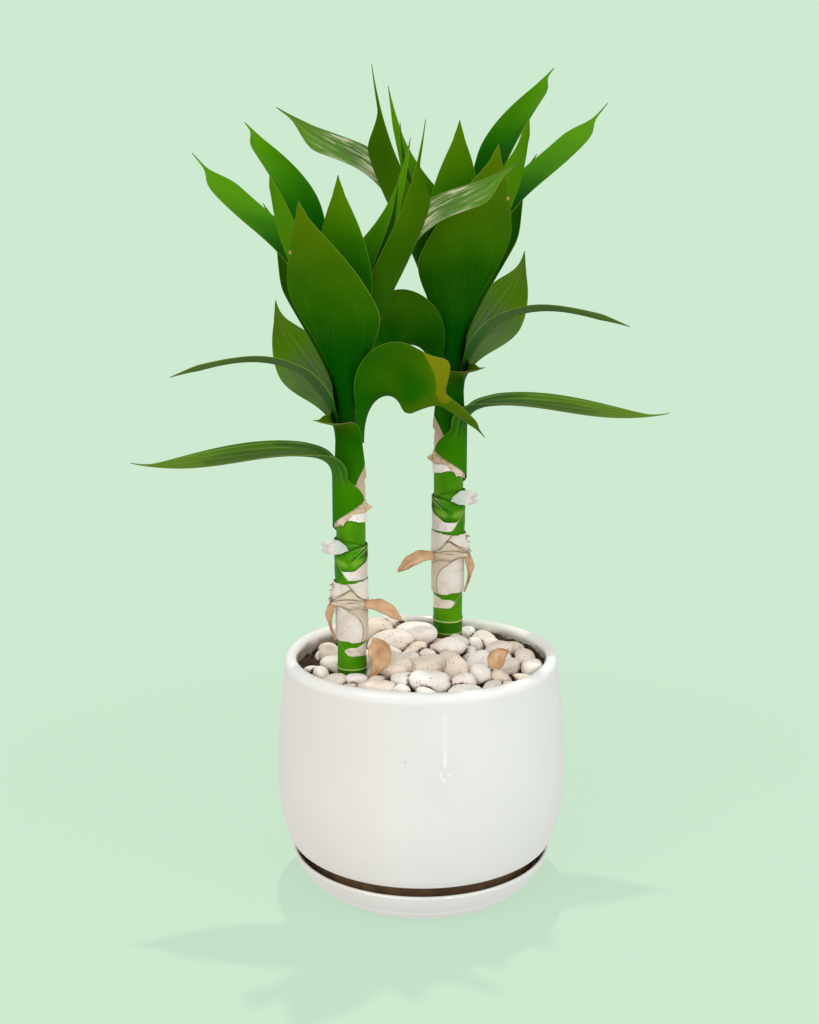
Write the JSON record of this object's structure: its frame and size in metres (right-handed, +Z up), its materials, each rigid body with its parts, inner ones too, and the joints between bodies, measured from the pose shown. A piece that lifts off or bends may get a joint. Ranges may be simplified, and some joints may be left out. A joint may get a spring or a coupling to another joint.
{
  "type": "lucky bamboo in a pot",
  "caption": "Two short lucky bamboo canes with arching leaves and papery sheaths, standing in pale river pebbles in a glazed off-white round pot on its saucer.",
  "frame": {"origin": "middle of the saucer's flat foot, on the surface it stands on", "axes": "+Z up, +Y to the back, +X to the right as seen from the front"},
  "size_m": [0.2759, 0.1649, 0.4195],
  "materials": {
    "glaze": "glossy off-white glaze, slightly warm, with faint waves",
    "soil": "dark moist potting soil, matt and crumbly",
    "pebble": "matt rounded river pebbles, off-white to pinkish beige with dark speckles",
    "cane": "satin green cane with pale rings",
    "leaf": "satin to glossy green blade with fine parallel veins, pale margin and dried tip",
    "husk": "dry cream papery sheath with fine fibres",
    "dry": "dry brown shrivelled leaf"
  },
  "bodies": {
    "root": {"cane_far": "cane", "cane_near": "cane", "cream_sheath_far": "husk", "cream_sheath_near": "husk", "dry_scrap_long_far": "dry", "dry_scrap_long_near": "dry", "dry_scrap_short_far": "dry", "dry_scrap_short_near": "dry", "fallen_leaf_left": "dry", "fallen_leaf_right": "dry", "green_sheath_far": "cane", "green_sheath_near": "cane", "husk_collar_far": "husk", "husk_collar_near": "husk", "leaf_big_front_far": "leaf", "leaf_big_front_near": "leaf", "leaf_dark_back_far": "leaf", "leaf_dark_back_near": "leaf", "leaf_far_left_far": "leaf", "leaf_far_left_near": "leaf", "leaf_inner_small_far": "leaf", "leaf_inner_small_near": "leaf", "leaf_left_inner_far": "leaf", "leaf_left_inner_near": "leaf", "leaf_low_front_far": "leaf", "leaf_low_front_near": "leaf", "leaf_low_left_far": "leaf", "leaf_low_left_near": "leaf", "leaf_mid_left_back_far": "leaf", "leaf_mid_left_back_near": "leaf", "leaf_mid_left_far": "leaf", "leaf_mid_left_near": "leaf", "leaf_middle_far": "leaf", "leaf_middle_near": "leaf", "leaf_right_behind_far": "leaf", "leaf_right_behind_near": "leaf", "leaf_right_curl_far": "leaf", "leaf_right_curl_near": "leaf", "leaf_right_up_far": "leaf", "leaf_right_up_near": "leaf", "leaf_streaked_far": "leaf", "leaf_streaked_near": "leaf", "leaf_upper_left_far": "leaf", "leaf_upper_left_near": "leaf", "papery_band_far": "husk", "papery_band_near": "husk", "papery_tuft_far": "husk", "papery_tuft_near": "husk", "pebble_bed": "pebble", "pot": "glaze", "saucer": "glaze", "soil": "soil"}
  },
  "joints": []
}
